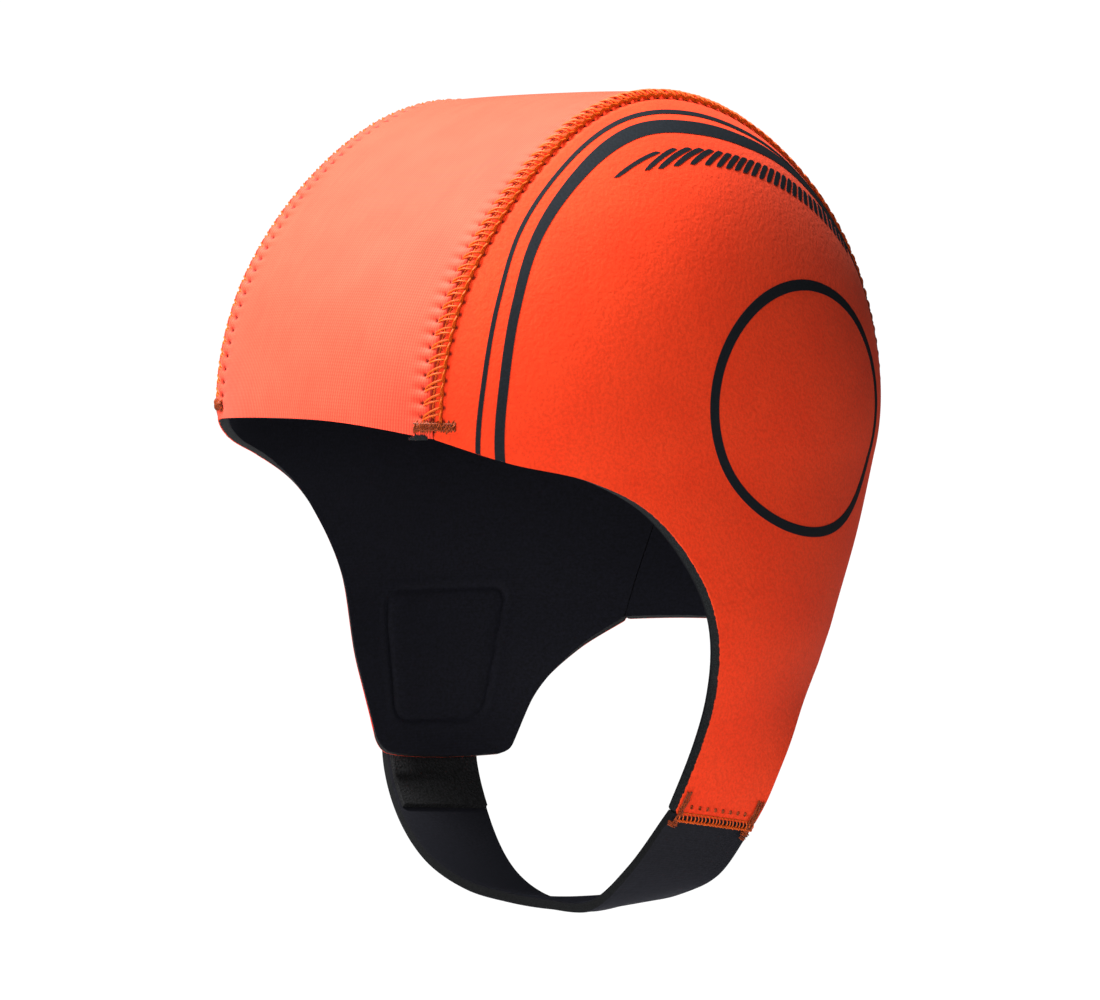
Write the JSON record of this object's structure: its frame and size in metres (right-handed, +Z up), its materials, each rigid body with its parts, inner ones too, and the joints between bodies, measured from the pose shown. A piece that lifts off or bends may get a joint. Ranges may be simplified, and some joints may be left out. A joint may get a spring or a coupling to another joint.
{
  "type": "neoprene swim cap with chin strap",
  "caption": "Close-fitting neoprene swim cap with ear flaps: a centre panel between side panels, and a chin strap that closes with hook and loop on the right flap.",
  "frame": {"origin": "The inside of the crown at the middle of its top, where the top of a head touches it", "axes": "+Z up through the crown, -Y to the front over the brow, +X to the wearer's left"},
  "size_m": [0.1688, 0.1819, 0.2318],
  "materials": {
    "centre_jersey": "orange nylon jersey with a fine upright rib, laminated to neoprene foam, soft and matte",
    "side_jersey": "red-orange brushed nylon jersey laminated to neoprene foam, matte with a fine pebble",
    "lining_jersey": "black nylon jersey lining, matte",
    "foam_edge": "cut edge of dark grey neoprene foam, finely cellular",
    "strap_jersey": "black nylon jersey on both faces of neoprene, matte",
    "hook_tape": "black woven tape with fine plastic hooks",
    "loop_tape": "black napped loop tape",
    "seam_thread": "orange polyester sewing thread, slight sheen",
    "print_ink": "dark grey-blue screen print on jersey, flexible and matte"
  },
  "bodies": {
    "root": {"centre_panel": "centre_jersey", "left_side_panel": "side_jersey", "right_side_panel": "side_jersey", "chin_strap": "strap_jersey", "hook_patch": "hook_tape", "loop_patch": "loop_tape"}
  },
  "joints": []
}
